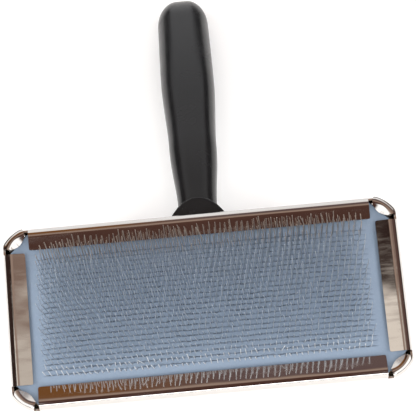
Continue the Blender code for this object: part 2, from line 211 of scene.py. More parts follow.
def wire_steel():
    """Drawn wire: fine lines along it, with painted shade in its colour near the rubber and painted light
    above the bend.

    The rows by the handle are warmer, and the rows by the far edge are paler.
    """
    finish = Finish("drawn_wire_steel")
    _, across, up = finish.axes()
    lines = finish.noise(9000, 2, (1.0, 1.0, 0.04))
    patches = finish.noise(700, 2)
    off_middle = finish.math("ABSOLUTE", finish.math("DIVIDE", across, WINDOW_Y))
    arch = finish.math("POWER", off_middle, 2.0)
    above_crown = finish.math("ADD", up, finish.math("MULTIPLY", arch, CROWN))
    start = PAD_EDGE_Z + CROWN + KNEE_HEIGHT
    # Painted light and shade: the base colour is darker near the rubber and lighter above the bend,
    # standing in for the shade deep among the wires.
    lit_above_bend = finish.between(above_crown, 0.0, 1.0, start - 0.0010, start + 0.0030)
    shaded_low = finish.mix(patches, (0.22, 0.26, 0.31), (0.45, 0.50, 0.57))
    cool = finish.mix(patches, (0.20, 0.23, 0.27), (0.52, 0.57, 0.64))
    warm = finish.mix(patches, (0.22, 0.18, 0.16), (0.72, 0.61, 0.51))
    far_rows = finish.between(across, 0.0, 1.0, 0.0130, 0.0150)
    near_rows = finish.between(across, 1.0, 0.0, -0.0160, -0.0140)
    bright = finish.mix(near_rows, finish.mix(far_rows, cool, warm), (0.55, 0.57, 0.59))
    # The rows by the far edge get less of the painted shade near the rubber.
    shaded_low = finish.mix(near_rows, shaded_low, (0.35, 0.39, 0.44))
    metallic = finish.between(far_rows, 0.40, 0.80)
    finish.set("Metallic", finish.math("ADD", metallic, finish.between(near_rows, 0.0, -0.20)))
    finish.set("Base Color", finish.mix(lit_above_bend, shaded_low, bright))
    finish.set("Roughness", finish.between(lines, 0.28, 0.48, 0.3, 0.7))
    finish.set("Normal", finish.bump(lines, 0.000004))
    return finish.material


LINE_CORE = 0.05
LINE_EDGE = 0.15


def row_shadow_lines(finish):
    """Painted shadow: one on the line of each row of wires, and nothing beside it."""
    along, across, _ = finish.axes()
    wobble = finish.between(finish.noise(420, 3), -0.15, 0.15, 0.3, 0.7)
    rows = finish.math("ADD", finish.math("DIVIDE", across, ROW_PITCH), (ROWS - 1) / 2)
    beside = finish.math("PINGPONG", finish.math("ADD", rows, wobble), 0.5)
    line = finish.between(beside, 1.0, 0.0, LINE_CORE, LINE_EDGE)
    inside_x = finish.between(finish.math("ABSOLUTE", along), 1.0, 0.0, 0.0455, 0.0480)
    half_rows = ROWS / 2 * ROW_PITCH
    inside_y = finish.between(finish.math("ABSOLUTE", across), 1.0, 0.0, half_rows - 0.0004, half_rows)
    broken = finish.between(finish.noise(330, 3), 0.20, 1.0, 0.38, 0.58)
    inside = finish.math("MULTIPLY", inside_x, inside_y)
    return finish.math("MULTIPLY", finish.math("MULTIPLY", line, broken), inside)


def blue_grey_rubber():
    """Matt sheet rubber, mottled and dusty, with a fine grain and painted shadow lines along the rows of
    wires.
    """
    finish = Finish("blue_grey_sheet_rubber")
    mottle = finish.noise(160, 5)
    grain = finish.noise(5200, 3)
    dust = finish.between(finish.noise(2300, 4), 0.0, 0.26, 0.55, 0.75)
    skin = finish.mix(mottle, (0.176, 0.230, 0.305), (0.215, 0.272, 0.348))
    dusty = finish.mix(dust, skin, (0.33, 0.38, 0.45))
    # Painted shadow along each row of wires darkens the rubber's colour.
    lines = finish.math("MULTIPLY", row_shadow_lines(finish), 0.68)
    finish.set("Base Color", finish.mix(lines, dusty, (0.035, 0.045, 0.06)))
    finish.set("Roughness", finish.between(mottle, 0.50, 0.68))
    finish.set("Normal", finish.bump(grain, 0.00003, finish.bump(mottle, 0.00008)))
    finish.set("Specular IOR Level", 0.35)
    return finish.material


def woven_cotton():
    """Coarse plain weave, unbleached."""
    finish = Finish("woven_cotton_backing")
    weave = finish.math("MULTIPLY", finish.bands(420, "X"), finish.bands(420, "Y"))
    fuzz = finish.noise(3500, 5)
    finish.set("Base Color", finish.mix(weave, (0.34, 0.30, 0.24), (0.62, 0.57, 0.48)))
    finish.set("Roughness", finish.between(fuzz, 0.80, 0.97))
    finish.set("Normal", finish.bump(fuzz, 0.00004, finish.bump(weave, 0.00015)))
    finish.set("Sheen Weight", 0.2)
    return finish.material


def cushion_felt():
    """Soft felted cushion: open cells with fibres over them."""
    finish = Finish("felted_cushion")
    cells = finish.cells(1100)
    fibres = finish.noise(2400, 6, (1.0, 1.0, 3.0))
    finish.set("Base Color", finish.mix(fibres, (0.30, 0.29, 0.27), (0.56, 0.55, 0.52)))
    finish.set("Roughness", finish.between(cells, 0.85, 0.98))
    finish.set("Normal", finish.bump(fibres, 0.0001, finish.bump(cells, 0.0002)))
    return finish.material


def pressed_fibreboard():
    """Brown pressed board, flecked with fibres."""
    finish = Finish("pressed_fibreboard")
    flecks = finish.noise(1500, 6, (1.0, 0.25, 1.0))
    finish.set("Base Color", finish.mix(flecks, (0.20, 0.13, 0.08), (0.42, 0.31, 0.20)))
    finish.set("Roughness", finish.between(flecks, 0.75, 0.92))
    finish.set("Normal", finish.bump(flecks, 0.00005))
    return finish.material


def black_plastic():
    """Satin moulded plastic: a faint mould texture, slow sink marks and light rubbing."""
    finish = Finish("black_moulded_plastic")
    texture = finish.noise(3800, 3)
    rubbing = finish.noise(130, 5)
    sink = finish.noise(28, 1)
    finish.set("Base Color", finish.mix(rubbing, (0.008, 0.008, 0.0085), (0.013, 0.013, 0.014)))
    finish.set("Roughness", finish.between(rubbing, 0.20, 0.30, 0.3, 0.7))
    finish.set("Specular IOR Level", 0.25)
    finish.set("Normal", finish.bump(texture, 0.000006, finish.bump(sink, 0.0001)))
    return finish.material


def rivet_steel():
    """Plain steel with turning marks and a little tarnish."""
    finish = Finish("plain_rivet_steel")
    tarnish = finish.noise(600, 5)
    marks = finish.noise(6000, 2, (1.0, 1.0, 0.2))
    finish.set("Metallic", 1.0)
    finish.set("Base Color", finish.mix(tarnish, (0.40, 0.38, 0.36), (0.62, 0.61, 0.60)))
    finish.set("Roughness", finish.between(tarnish, 0.22, 0.45, 0.3, 0.7))
    finish.set("Normal", finish.bump(marks, 0.000005))
    return finish.material


# ---- making pieces ----


def add_piece(name, mesh, finish, nodes, sharp_angle=40):
    """Shows a mesh made in the head's frame, in place of these nodes of the frame."""
    mesh.transform(HEAD)
    mesh.shade_smooth()
    mesh.set_sharp_from_angle(angle=math.radians(sharp_angle))
    mesh.materials.clear()
    mesh.materials.append(finish)
    made = bpy.data.objects.new(name, mesh)
    bpy.context.scene.collection.objects.link(made)
    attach(made, "root")
    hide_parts(*nodes)
    return made


def finished_mesh(bm, name, modifiers=()):
    """A mesh from this bmesh, with the modifiers already worked in."""
    mesh = bpy.data.meshes.new(name)
    bm.to_mesh(mesh)
    bm.free()
    if not modifiers:
        return mesh
    holder = bpy.data.objects.new(name + "_making", mesh)
    bpy.context.scene.collection.objects.link(holder)
    for kind, settings in modifiers:
        modifier = holder.modifiers.new(kind.lower(), kind)
        for key, value in settings.items():
            setattr(modifier, key, value)
    bpy.context.view_layer.update()
    made = bpy.data.meshes.new_from_object(holder.evaluated_get(bpy.context.evaluated_depsgraph_get()))
    bpy.data.objects.remove(holder, do_unlink=True)
    return made


def helper(bm, name):
    """A hidden object for a Boolean. It is removed once the cut is made."""
    bmesh.ops.recalc_face_normals(bm, faces=bm.faces)
    mesh = bpy.data.meshes.new(name)
    bm.to_mesh(mesh)
    bm.free()
    made = bpy.data.objects.new(name, mesh)
    bpy.context.scene.collection.objects.link(made)
    made.hide_render = True
    return made


def discard(*things):
    """Removes helper objects."""
    for thing in things:
        bpy.data.objects.remove(thing, do_unlink=True)


def skin(bm, rings, ring_shaped=False):
    """Skins rings of equal point counts, closing the ends unless the skin runs round to its first ring."""
    loops = [[bm.verts.new(point) for point in ring] for ring in rings]
    pairs = list(zip(loops, loops[1:]))
    if ring_shaped:
        pairs.append((loops[-1], loops[0]))
    count = len(loops[0])
    for lower, upper in pairs:
        for i in range(count):
            j = (i + 1) % count
            bm.faces.new((lower[i], lower[j], upper[j], upper[i]))
    if not ring_shaped:
        bm.faces.new(reversed(loops[0]))
        bm.faces.new(loops[-1])


def circle(x, y, z, radius, segments=48):
    """Points of a level circle."""
    angles = [2 * math.pi * i / segments for i in range(segments)]
    return [(x + radius * math.cos(a), y + radius * math.sin(a), z) for a in angles]


def arc(centre_a, centre_b, radius, start, end, steps):
    """Points of an arc in a flat (a, b) plane, with its angles in degrees."""
    angles = [math.radians(start + (end - start) * i / steps) for i in range(steps + 1)]
    return [(centre_a + radius * math.cos(a), centre_b + radius * math.sin(a)) for a in angles]


def rivet_hole_cutter():
    """Posts that cut the rivets' holes through the saddle and the tray's bottom."""
    bm = bmesh.new()
    for x, y in RIVET_PLACES:
        skin(bm, [circle(x, y, z, RIVET_HOLE_RADIUS) for z in (-HEAD_DEPTH, HEAD_DEPTH / 2)])
    return helper(bm, "rivet_holes")


# ---- the head shell ----

SHORT_STATIONS = 16
LONG_STATIONS = 48
FILLET_STEPS = 8
CHAMFER_STEPS = 6
NOTCH_STATIONS = 3  # stations of the ear, at each end, that the notch takes
BACK_EDGE_STEPS = 8
FOLD_STEPS = 10
FLANGE_STEPS = 10
CUT_EDGE_BEVEL = 0.00012
EDGE_CORNER = 0.0005
LEAF_SLOPE = math.radians(28)
LEAF_REACH = 0.0020
EAR_BULGE = 0.0010


def head_corners(inset):
    """The two corners of the chamfer in the first quadrant, on an outline moved in by the inset."""
    half_x = HEAD_LENGTH / 2 - inset
    half_y = HEAD_WIDTH / 2 - inset
    normal = Vector((CORNER_CUT_Y, CORNER_CUT_X)).normalized()
    reach = normal.dot(Vector((HEAD_LENGTH / 2 - CORNER_CUT_X, HEAD_WIDTH / 2))) - inset
    on_short_side = Vector((half_x, (reach - normal.x * half_x) / normal.y))
    on_long_side = Vector(((reach - normal.y * half_y) / normal.x, half_y))
    return on_short_side, on_long_side


def fillet(before, corner, after, radius):
    """Points of the arc that rounds one convex corner of an outline."""
    to_before = (before - corner).normalized()
    to_after = (after - corner).normalized()
    half_angle = to_before.angle(to_after) / 2
    centre = corner + (to_before + to_after).normalized() * radius / math.sin(half_angle)
    first = corner + to_before * radius / math.tan(half_angle) - centre
    turn = first.angle_signed(corner + to_after * radius / math.tan(half_angle) - centre)
    return [centre + Matrix.Rotation(-turn * i / FILLET_STEPS, 2) @ first for i in range(FILLET_STEPS + 1)]


def ear_outline(inset):
    """The rounded chamfer from the short side to the long side: each point and its share of the way."""
    low, high = head_corners(inset)
    radius = max(CORNER_RADIUS - inset, 0.0004)
    first = fillet(Vector((low.x, 0)), low, high, radius)
    last = fillet(low, high, Vector((0, high.y)), radius)
    straight = [first[-1].lerp(last[0], i / CHAMFER_STEPS) for i in range(1, CHAMFER_STEPS)]
    outline = first + straight + last
    lengths = [0.0]
    for before, after in zip(outline, outline[1:]):
        lengths.append(lengths[-1] + (after - before).length)
    return [(point, length / lengths[-1]) for point, length in zip(outline, lengths)]


def side_stations(half_length, count):
    """Stations from the middle of a side to the end of its flange."""
    return [half_length * (i + 0.5) / (count - 0.5) for i in range(count)]


def flange_wave(along, inset, phase):
    """The slight unevenness of a folded edge, zero at the fold."""
    share = max(0.0, inset - FOLD_RADIUS) / (FLANGE_REACH - FOLD_RADIUS)
    wave = math.sin(along * 95 + phase) + 0.6 * math.sin(along * 230 + 2.3 * phase)
    return 0.00004 * wave * share


def corner_shift(inset):
    """How far the rounded free corner of a flange draws its end in."""
    depth = EDGE_CORNER - (FLANGE_REACH - inset)
    if depth <= 0:
        return 0.0
    return EDGE_CORNER - math.sqrt(EDGE_CORNER**2 - depth**2)


def shell_profile():
    """Rows from the back to the free edge, as (flange inset, flange z, ear inset, ear z, leaf share)."""
    slope = math.degrees(FLANGE_SLOPE)
    fold_z = HEAD_DEPTH - FOLD_RADIUS
    ear_z = HEAD_DEPTH + EAR_RISE - EAR_RADIUS
    back_edge = arc(BACK_EDGE_RADIUS, BACK_EDGE_RADIUS, BACK_EDGE_RADIUS, 270, 180, BACK_EDGE_STEPS)
    rows = [(*p, *p, 0.0) for p in back_edge]
    rows.append((0.0, WALL_MIDDLE, 0.0, WALL_MIDDLE, 0.0))
    rows.append((0.0, NOTCH_FLOOR, 0.0, NOTCH_FLOOR, 0.0))
    fold = arc(FOLD_RADIUS, fold_z, FOLD_RADIUS, 180, 90 - slope, FOLD_STEPS)
    roll = arc(EAR_RADIUS, ear_z, EAR_RADIUS, 180, 90 - math.degrees(LEAF_SLOPE), FOLD_STEPS)
    rows += [(*f, *e, 0.0) for f, e in zip(fold, roll)]
    start_inset, start_z = fold[-1]
    for i in range(1, FLANGE_STEPS + 1):
        share = i / FLANGE_STEPS
        inset = start_inset + (FLANGE_REACH - start_inset) * (1 - (1 - share) ** 1.6)
        z = start_z - (inset - start_inset) * math.tan(FLANGE_SLOPE)
        rows.append((inset, z, *roll[-1], share))
    return rows


def shell_row(flange_inset, flange_z, ear_inset, ear_z, leaf_share):
    """One row of points round the whole tray, with the tab that each point belongs to."""
    shift = corner_shift(flange_inset)
    ring = []
    for sx, sy in ((1, 1), (-1, 1), (-1, -1), (1, -1)):
        quarter = []
        for y in side_stations(SHORT_FLANGE_HALF, SHORT_STATIONS):
            y *= 1 - shift / SHORT_FLANGE_HALF
            z = flange_z + flange_wave(sy * y, flange_inset, sx)
            quarter.append(((sx * (HEAD_LENGTH / 2 - flange_inset), sy * y, z), "flange"))
        outline = ear_outline(ear_inset)
        inward = Vector((-CORNER_CUT_Y, -CORNER_CUT_X)).normalized()
        for i, (point, around) in enumerate(outline):
            rounding = math.sin(math.pi * around)
            reach = LEAF_REACH * leaf_share * rounding**1.2
            x, y = point + inward * (reach * math.cos(LEAF_SLOPE) - EAR_BULGE * rounding)
            x = min(x, HEAD_LENGTH / 2)
            y = min(y, HEAD_WIDTH / 2)
            z = ear_z - reach * math.sin(LEAF_SLOPE)
            in_notch = min(i, len(outline) - 1 - i) < NOTCH_STATIONS
            quarter.append(((sx * x, sy * y, z), "notch" if in_notch else "ear"))
        for x in reversed(side_stations(LONG_FLANGE_HALF, LONG_STATIONS)):
            x *= 1 - shift / LONG_FLANGE_HALF
            z = flange_z + flange_wave(sx * x, flange_inset, 2 + sy)
            quarter.append(((sx * x, sy * (HEAD_WIDTH / 2 - flange_inset), z), "flange"))
        ring += quarter if sx * sy > 0 else reversed(quarter)
    return ring


def build_shell(finish):
    """The pressed tray: one skin of the sheet, left open at the notches, then given its thickness."""
    bm = bmesh.new()
    profile = shell_profile()
    rows = [shell_row(*row) for row in profile]
    notch_row = next(i for i, row in enumerate(profile) if row[1] == NOTCH_FLOOR)
    verts = [[bm.verts.new(point) for point, _ in row] for row in rows]
    tabs = [tab for _, tab in rows[0]]
    count = len(tabs)
    for r in range(len(rows) - 1):
        for i in range(count):
            j = (i + 1) % count
            is_tab = tabs[i] == tabs[j] and tabs[i] != "notch"
            if r < notch_row or is_tab:
                bm.faces.new((verts[r][i], verts[r][j], verts[r + 1][j], verts[r + 1][i]))
    bm.faces.new(reversed(verts[0]))
    bmesh.ops.delete(bm, geom=[v for v in bm.verts if not v.link_faces], context="VERTS")
    bmesh.ops.recalc_face_normals(bm, faces=bm.faces)
    back = min(bm.faces, key=lambda face: face.calc_center_median().z)
    if back.normal.z > 0:
        bmesh.ops.reverse_faces(bm, faces=bm.faces)
    cutter = rivet_hole_cutter()
    steep = math.radians(55)
    bevel = {"width": CUT_EDGE_BEVEL, "segments": 2, "limit_method": "ANGLE", "angle_limit": steep}
    mesh = finished_mesh(
        bm,
        "head_shell_pressed",
        (
            ("SOLIDIFY", {"thickness": SHEET, "offset": -1.0, "use_even_offset": True}),
            ("BEVEL", bevel),
            ("BOOLEAN", {"operation": "DIFFERENCE", "object": cutter}),
        ),
    )
    discard(cutter)
    add_piece("head_shell_pressed", mesh, finish, ["head_shell"], sharp_angle=20)


# ---- the pad ----

GROOVE_DEPTH = 0.00022
GROOVE_WIDTH = 0.00014
GROOVE_LINES = (-0.00046, -0.00030, -0.00016, -0.00007, 0.0, 0.00007, 0.00016, 0.00030, 0.00046)
PUCKER = 0.00010
ROW_END = 0.0478


def row_places():
    """Where the rows of wires stand across the head."""
    return [(row - (ROWS - 1) / 2) * ROW_PITCH for row in range(ROWS)]


def wire_places(row):
    """Where the wires of one row stand along it. Each row is set over by a quarter of the pitch."""
    set_over = ((row % 4) - 1.5) * WIRE_PITCH / 4
    return [(i - (WIRES_IN_ROW - 1) / 2) * WIRE_PITCH + set_over for i in range(WIRES_IN_ROW)]


def crown_height(x, y):
    """How far the rubber stands above its edge. It works on numbers and on arrays."""
    along = np.clip(1 - np.abs(x / WINDOW_X) ** 6, 0, 1)
    across = np.clip(1 - (y / WINDOW_Y) ** 2, 0, 1)
    return CROWN * along * across


def crown_slopes(x, y):
    """How far the crown's normal leans along X and Y."""
    step = 0.00005
    slope_x = (crown_height(x - step, y) - crown_height(x + step, y)) / (2 * step)
    slope_y = (crown_height(x, y - step) - crown_height(x, y + step)) / (2 * step)
    return slope_x, slope_y


def surface_detail(x, y):
    """Grooves where the rows pull the rubber down, a pucker beside each wire, and slow unevenness."""
    height = 0.00003 * (np.sin(x * 310 + 3 * np.sin(y * 170)) + np.sin(y * 420 + 2 * np.sin(x * 230)))
    for row, row_y in enumerate(row_places()):
        beside = y - row_y
        along = np.clip((ROW_END - np.abs(x)) / 0.0006, 0, 1)
        near = np.exp(-((beside / GROOVE_WIDTH) ** 2)) * along
        phase = 2 * math.pi * (x - wire_places(row)[0]) / WIRE_PITCH
        height = height - GROOVE_DEPTH * near * (0.75 + 0.25 * np.cos(phase))
        swell = np.exp(-(((np.abs(beside) - 0.00034) / 0.00022) ** 2)) * along
        height = height + PUCKER * swell * (0.5 + 0.5 * np.cos(phase)) * 0.5
    return height


def spread(start, end, step):
    """Even places from start to end, about a step apart."""
    count = max(1, round((end - start) / step))
    return [start + (end - start) * i / count for i in range(count + 1)]


COARSE_X = spread(-PAD_HALF_X, PAD_HALF_X, 0.0012)
COARSE_Y = spread(-PAD_HALF_Y, PAD_HALF_Y, 0.0008)


def pad_surface(lines_x, lines_y, height_at):
    """A surface over a grid of lines, with its corners cut off."""
    x, y = np.meshgrid(np.array(lines_x), np.array(lines_y), indexing="ij")
    points_x, points_y, points_z = height_at(x, y)
    points = np.stack([points_x, points_y, points_z], -1).reshape(-1, 3)
    columns = len(lines_y)
    i, j = np.meshgrid(np.arange(len(lines_x) - 1), np.arange(columns - 1), indexing="ij")
    first = (i * columns + j).reshape(-1)
    faces = np.stack([first, first + columns, first + columns + 1, first + 1], -1)
    mesh = bpy.data.meshes.new("surface")
    mesh.from_pydata(points.tolist(), [], faces.tolist())
    bm = bmesh.new()
    bm.from_mesh(mesh)
    bpy.data.meshes.remove(mesh)
    for sx in (-1, 1):
        for sy in (-1, 1):
            everything = bm.verts[:] + bm.edges[:] + bm.faces[:]
            bmesh.ops.bisect_plane(
                bm,
                geom=everything,
                plane_co=(sx * PAD_HALF_X, sy * (PAD_HALF_Y - PAD_CORNER_CUT), 0.0),
                plane_no=(sx, sy, 0.0),
                clear_outer=True,
            )
    return bm


def layer_height(depth, with_detail=False):
    """A function that puts (x, y) on a surface at this depth under the crowned rubber."""

    def place(x, y):
        slope_x, slope_y = crown_slopes(x, y)
        inside_x = np.clip((WINDOW_X - np.abs(x)) / 0.002, 0, 1)
        inside_y = np.clip((WINDOW_Y - np.abs(y)) / 0.002, 0, 1)
        z = PAD_EDGE_Z + crown_height(x, y) - depth
        if with_detail:
            z = z + surface_detail(x, y) * (inside_x * inside_y)
        return x - depth * slope_x, y - depth * slope_y, z

    return place


def build_rubber(finish):
    """The rubber sheet, on lines close enough to carry the groove of each row."""
    margin_x = [-x for x in reversed(spread(WINDOW_X, PAD_HALF_X, 0.001))]
    middle_x = spread(-WINDOW_X, WINDOW_X, 0.00026)
    lines_x = margin_x[:-1] + middle_x + spread(WINDOW_X, PAD_HALF_X, 0.001)[1:]
    lines_y = {round(y + line, 7) for y in row_places() for line in GROOVE_LINES}
    lines_y |= {round(y + ROW_PITCH / 2, 7) for y in row_places()}
    edge = spread(row_places()[-1] + 0.001, WINDOW_Y, 0.0003) + spread(WINDOW_Y, PAD_HALF_Y, 0.001)
    lines_y |= {round(sign * y, 7) for y in edge for sign in (-1, 1)}
    bm = pad_surface(lines_x, sorted(lines_y), layer_height(0.0, with_detail=True))
    thicken = ("SOLIDIFY", {"thickness": RUBBER_THICKNESS, "offset": -1.0})
    mesh = finished_mesh(bm, "rubber_face_sheet", (thicken,))
    sheet = add_piece("rubber_face_sheet", mesh, finish, ["rubber_face"], sharp_angle=50)


def build_foundation(finish):
    """The cloth that holds the wires' crowns, just under the rubber."""
    bm = pad_surface(COARSE_X, COARSE_Y, layer_height(RUBBER_THICKNESS + 0.0002))
    thicken = ("SOLIDIFY", {"thickness": FABRIC_THICKNESS, "offset": -1.0})
    mesh = finished_mesh(bm, "foundation_cloth", (thicken,))
    add_piece("foundation_cloth", mesh, finish, ["foundation_fabric"])


def build_cushion(finish):
    """The cushion, crowned above and flat on the board below."""
    bm = pad_surface(COARSE_X, COARSE_Y, layer_height(RUBBER_THICKNESS + FABRIC_THICKNESS + 0.0011))
    grown = bmesh.ops.extrude_face_region(bm, geom=list(bm.faces))
    for vert in (v for v in grown["geom"] if isinstance(v, bmesh.types.BMVert)):
        vert.co.z = CUSHION_BOTTOM
    bmesh.ops.recalc_face_normals(bm, faces=bm.faces)
    mesh = finished_mesh(bm, "felt_cushion")
    cushion = add_piece("felt_cushion", mesh, finish, ["cushion_foam"])


# ---- the wires ----

TUBE_SIDES = 6
END_SPLAY = 0.22  # how much of the crown's slope along the rows the wires follow
SIDE_SPLAY = 0.65
WILD_SHARE = 0.025
KNEE_SOFTNESS = 0.0004
LEG_HEIGHTS = (1.00, 0.86, 0.72, 0.615, 0.56, 0.528, 0.495, 0.45, 0.25, 0.0)


def leg_points(x, y, chance):
    """One bent wire from its tip down to the rubber's surface. A few wires are bent out of line."""
    wild = chance.random() < WILD_SHARE
    side = chance.gauss(-0.06, 0.05) + (chance.uniform(-0.35, 0.35) if wild else 0.0)
    knee = KNEE_ANGLE + chance.gauss(0.0, 0.06) + (chance.uniform(-0.2, 0.1) if wild else 0.0)
    forward = math.tan(knee)
    tall = WIRE_HEIGHT - chance.uniform(0.0, 0.0012)
    slope_x, slope_y = crown_slopes(x, y)
    slope_x *= END_SPLAY
    slope_y *= SIDE_SPLAY
    base_z = PAD_EDGE_Z + crown_height(x, y)
    points = []
    for share in LEG_HEIGHTS:
        height = share * tall
        above = max(0.0, height - KNEE_HEIGHT + KNEE_SOFTNESS)
        bend = above * above / (above + KNEE_SOFTNESS) if above else 0.0
        across = bend * side + height * 0.02 * math.sin(x * 400)
        place = (x + height * slope_x + across, y + height * slope_y + bend * forward, base_z + height)
        points.append(place)
    return points


def staple_points(first_x, second_x, y, chance):
    """A U of wire: two bent legs joined by a crown under the foundation cloth."""
    legs = []
    for x in (first_x, second_x):
        slope_x, slope_y = crown_slopes(x, y)
        leg = leg_points(x, y, chance)
        z = PAD_EDGE_Z + crown_height(x, y)
        inward = 0.00015 if x < second_x else -0.00015
        turn = ((0.0018, 0.0), (CROWN_DEPTH - 0.00004, inward * 0.3), (CROWN_DEPTH, inward))
        for depth, shift in turn:
            leg.append((x - depth * slope_x + shift, y - depth * slope_y, z - depth))
        legs.append(leg)
    return legs[0] + legs[1][::-1]


def tube_rings(paths, radius):
    """Rings of points round each path, with a frame that doesn't twist. Every path has as many points."""
    along = np.gradient(paths, axis=1)
    along /= np.linalg.norm(along, axis=2, keepdims=True)
    normal = np.tile(np.array([0.0, 1.0, 0.0]), (len(paths), 1))
    rings = np.zeros((*paths.shape[:2], TUBE_SIDES, 3))
    for k in range(paths.shape[1]):
        normal = normal - (normal * along[:, k]).sum(1, keepdims=True) * along[:, k]
        normal /= np.linalg.norm(normal, axis=1, keepdims=True)
        other = np.cross(along[:, k], normal)
        for side in range(TUBE_SIDES):
            angle = 2 * math.pi * side / TUBE_SIDES
            spoke = math.cos(angle) * normal + math.sin(angle) * other
            rings[:, k, side] = paths[:, k] + radius * spoke
    return rings


def tube_mesh(name, paths, radius):
    """Round wires along these paths, closed at both ends."""
    rings = tube_rings(np.array(paths), radius)
    staples, stations = rings.shape[:2]
    faces = []
    for s in range(staples):
        start = s * stations * TUBE_SIDES
        for k in range(stations - 1):
            a = start + k * TUBE_SIDES
            for side in range(TUBE_SIDES):
                after = (side + 1) % TUBE_SIDES
                faces.append((a + side, a + after, a + TUBE_SIDES + after, a + TUBE_SIDES + side))
        faces.append(tuple(start + side for side in reversed(range(TUBE_SIDES))))
        last = start + (stations - 1) * TUBE_SIDES
        faces.append(tuple(last + side for side in range(TUBE_SIDES)))
    mesh = bpy.data.meshes.new(name)
    mesh.from_pydata(rings.reshape(-1, 3).tolist(), [], faces)
    mesh.validate()
    return mesh


def build_wires(finish):
    """The staples of every row, one piece to a row."""
    chance = random.Random(24)
    for row, y in enumerate(row_places()):
        places = [x + chance.gauss(0.0, 0.00006) for x in wire_places(row)]
        paths = [staple_points(a, b, y, chance) for a, b in zip(places[::2], places[1::2])]
        node = f"pin_row_{row + 1:02d}"
        mesh = tube_mesh(f"{node}_wires", paths, WIRE_RADIUS)
        add_piece(f"{node}_wires", mesh, finish, [node], sharp_angle=62)


# ---- the handle ----

SADDLE_CENTRE_Y = 0.0060
SADDLE_REACH_UP = 0.0270
SADDLE_REACH_DOWN = 0.0240
SADDLE_HALF_WIDTH = 0.0134
SADDLE_THICKNESS = 0.0032
SADDLE_POINTS = 96
SADDLE_EDGE = ((0.0, 0.0), (0.0, 0.35), (0.0003, 0.55), (0.0012, 0.75), (0.0024, 0.90), (0.0036, 1.0))
GRIP_START = Vector((0.0, 0.0040, -0.0020))
GRIP_BEND = Vector((0.0, 0.0460, -0.0090))
GRIP_END = Vector((0.0, 0.1190, -0.0680))
GRIP_STATIONS = 70
GRIP_CORNER_STEPS = 10
GRIP_CORNER_SHARE = 0.40
TIP_START = 0.90
TIP_END = 0.985
TIP_STEPS = 14
GRIP_SIZES = (
    (0.00, 0.0200, 0.0014),
    (0.12, 0.0175, 0.0070),
    (0.30, 0.0118, 0.0114),
    (0.50, 0.0148, 0.0136),
    (0.72, 0.0173, 0.0150),
    (1.00, 0.0170, 0.0138),
)


def saddle_ring(inset, z):
    """The saddle's outline, moved in by the inset: an oval, longer towards the handle."""
    ring = []
    for i in range(SADDLE_POINTS):
        angle = 2 * math.pi * i / SADDLE_POINTS
        reach = SADDLE_REACH_UP if math.sin(angle) > 0 else SADDLE_REACH_DOWN
        x = (SADDLE_HALF_WIDTH - inset) * math.cos(angle)
        y = SADDLE_CENTRE_Y + (reach - inset) * math.sin(angle)
        ring.append((x, y, z))
    return ring


def grip_size(share):
    """Width and thickness of the grip at a share of its length, easing between the listed sizes."""
    for (low, *before), (high, *after) in zip(GRIP_SIZES, GRIP_SIZES[1:]):
        if share <= high:
            local = (share - low) / (high - low)
            ease = local * local * (3 - 2 * local)
            return [a + (b - a) * ease for a, b in zip(before, after)]
    return GRIP_SIZES[-1][1:]


def grip_section(width, thickness):
    """A rounded rectangle."""
    radius = GRIP_CORNER_SHARE * min(width, thickness)
    half_a = width / 2 - radius
    half_b = thickness / 2 - radius
    points = []
    for quarter, (side_a, side_b) in enumerate(((1, 1), (-1, 1), (-1, -1), (1, -1))):
        start = 90 * quarter
        points += arc(side_a * half_a, side_b * half_b, radius, start, start + 90, GRIP_CORNER_STEPS)
    return points


def spine_point(share):
    """A point of the grip's centre line, a curve with one control point."""
    return (1 - share) ** 2 * GRIP_START + 2 * share * (1 - share) * GRIP_BEND + share**2 * GRIP_END


def spine_direction(share):
    """Which way the centre line runs there."""
    first = (1 - share) * (GRIP_BEND - GRIP_START)
    second = share * (GRIP_END - GRIP_BEND)
    return (2 * first + 2 * second).normalized()


def grip_rings():
    """Sections of the grip from the saddle to its rounded tip."""
    shares = [TIP_START * i / GRIP_STATIONS for i in range(GRIP_STATIONS + 1)]
    shrinks = [1.0] * len(shares)
    for i in range(1, TIP_STEPS + 1):
        angle = math.radians(84 * i / TIP_STEPS)
        shares.append(TIP_START + (TIP_END - TIP_START) * math.sin(angle))
        shrinks.append(math.cos(angle))
    rings = []
    for share, shrink in zip(shares, shrinks):
        width, thickness = grip_size(share)
        across = Vector((1.0, 0.0, 0.0))
        through = spine_direction(share).cross(across)
        section = grip_section(width * shrink, thickness * shrink)
        rings.append([spine_point(share) + across * a + through * b for a, b in section])
    return rings


def build_handle(finish):
    """Saddle and grip joined into one moulding and smoothed where they meet."""
    bm = bmesh.new()
    skin(bm, [saddle_ring(inset, -FIT_GAP - share * SADDLE_THICKNESS) for inset, share in SADDLE_EDGE])
    bmesh.ops.recalc_face_normals(bm, faces=bm.faces)
    grip = bmesh.new()
    skin(grip, grip_rings())
    grip_shape = helper(grip, "grip_shape")
    holes = rivet_hole_cutter()
    mesh = finished_mesh(
        bm,
        "handle_moulding",
        (
            ("BOOLEAN", {"operation": "UNION", "object": grip_shape}),
            ("REMESH", {"mode": "VOXEL", "voxel_size": 0.00042, "use_smooth_shade": True}),
            ("SMOOTH", {"factor": 0.5, "iterations": 6}),
            ("BOOLEAN", {"operation": "DIFFERENCE", "object": holes}),
        ),
    )
    discard(grip_shape, holes)
    add_piece("handle_moulding", mesh, finish, ["handle"], sharp_angle=60)


# ---- the rivets, their washers and the board ----

RIVET_HEAD_RISE = 0.0013
WASHER_THICKNESS = 0.0005


